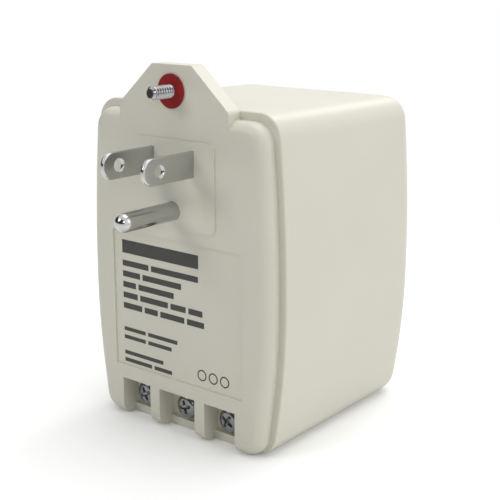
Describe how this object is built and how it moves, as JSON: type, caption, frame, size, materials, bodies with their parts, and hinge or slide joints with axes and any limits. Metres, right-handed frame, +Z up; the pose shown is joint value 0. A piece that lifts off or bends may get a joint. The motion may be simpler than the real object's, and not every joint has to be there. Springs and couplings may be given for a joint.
{
  "type": "plug-in ac transformer",
  "caption": "Wall-socket transformer with bowed ivory case, grounded plug, captive mounting screw in a tab and a row of screw terminals.",
  "frame": {"origin": "on the flat base, midway across the case and 32 mm behind the mounting face", "axes": "+X to the right across the mounting face seen from the plug side, +Y from the mounting face back into the case, +Z up"},
  "size_m": [0.0616, 0.0806, 0.0919],
  "materials": {
    "case": "satin moulded, warm ivory",
    "cover": "satin moulded, warm ivory",
    "retainer": "moulded phenolic, black",
    "blade": "nickel-plated brass, satin",
    "pin": "nickel-plated brass, polished",
    "screw": "zinc-plated steel",
    "fibre": "vulcanised fibre, deep red",
    "terminal_plate": "tinned steel",
    "clamp": "zinc-plated steel",
    "terminal_screw": "zinc-plated steel, darkened",
    "core": "varnished silicon steel laminations",
    "bobbin": "glass-filled nylon, natural",
    "winding": "enamelled copper wire",
    "tape": "polyester tape, yellow",
    "fuse": "ceramic-cased cut-out",
    "lead_black": "PVC insulation",
    "lead_white": "PVC insulation",
    "lead_green": "PVC insulation",
    "lead_red": "PVC insulation"
  },
  "bodies": {
    "root": {"rear_case": "case", "front_cover": "cover", "blade_retainer": "retainer", "line_blade": "blade", "neutral_blade": "blade", "ground_pin": "pin", "terminal_plate_left": "terminal_plate", "terminal_plate_middle": "terminal_plate", "terminal_plate_right": "terminal_plate", "core_e_stack": "core", "core_i_stack": "core", "bobbin": "bobbin", "primary_winding": "winding", "secondary_winding": "winding", "primary_tape": "tape", "secondary_tape": "tape", "thermal_fuse": "fuse", "line_lead": "lead_black", "neutral_lead": "lead_white", "ground_lead": "lead_green", "secondary_lead_left": "lead_red", "secondary_lead_right": "lead_red"},
    "mounting_screw": {"mounting_screw": "screw", "retaining_washer": "fibre"},
    "wire_clamp_left": {"wire_clamp_left": "clamp"},
    "terminal_screw_left": {"terminal_screw_left": "terminal_screw"},
    "wire_clamp_middle": {"wire_clamp_middle": "clamp"},
    "terminal_screw_middle": {"terminal_screw_middle": "terminal_screw"},
    "wire_clamp_right": {"wire_clamp_right": "clamp"},
    "terminal_screw_right": {"terminal_screw_right": "terminal_screw"}
  },
  "joints": [
    {"name": "mounting_screw_turn", "type": "hinge", "parent": "root", "child": "mounting_screw", "pos_m": [0, -0.032, 0.0858], "axis": [0, 1, 0], "continuous": true},
    {"name": "wire_clamp_left_travel", "type": "slide", "parent": "root", "child": "wire_clamp_left", "axis": [0, -1, 0], "range_m": [-0.0013, 0.001]},
    {"name": "terminal_screw_left_turn", "type": "hinge", "parent": "wire_clamp_left", "child": "terminal_screw_left", "pos_m": [-0.01395, -0.032, 0.0062], "axis": [0, -1, 0], "range_deg": [-590, 455]},
    {"name": "wire_clamp_middle_travel", "type": "slide", "parent": "root", "child": "wire_clamp_middle", "axis": [0, -1, 0], "range_m": [-0.0013, 0.001]},
    {"name": "terminal_screw_middle_turn", "type": "hinge", "parent": "wire_clamp_middle", "child": "terminal_screw_middle", "pos_m": [0, -0.032, 0.0062], "axis": [0, -1, 0], "range_deg": [-590, 455]},
    {"name": "wire_clamp_right_travel", "type": "slide", "parent": "root", "child": "wire_clamp_right", "axis": [0, -1, 0], "range_m": [-0.0013, 0.001]},
    {"name": "terminal_screw_right_turn", "type": "hinge", "parent": "wire_clamp_right", "child": "terminal_screw_right", "pos_m": [0.01395, -0.032, 0.0062], "axis": [0, -1, 0], "range_deg": [-590, 455]}
  ],
  "couplings": [
    {"joint": "terminal_screw_left_turn", "follows": "wire_clamp_left_travel", "rad_per_m": 7913.3},
    {"joint": "terminal_screw_middle_turn", "follows": "wire_clamp_middle_travel", "rad_per_m": 7913.3},
    {"joint": "terminal_screw_right_turn", "follows": "wire_clamp_right_travel", "rad_per_m": 7913.3}
  ]
}
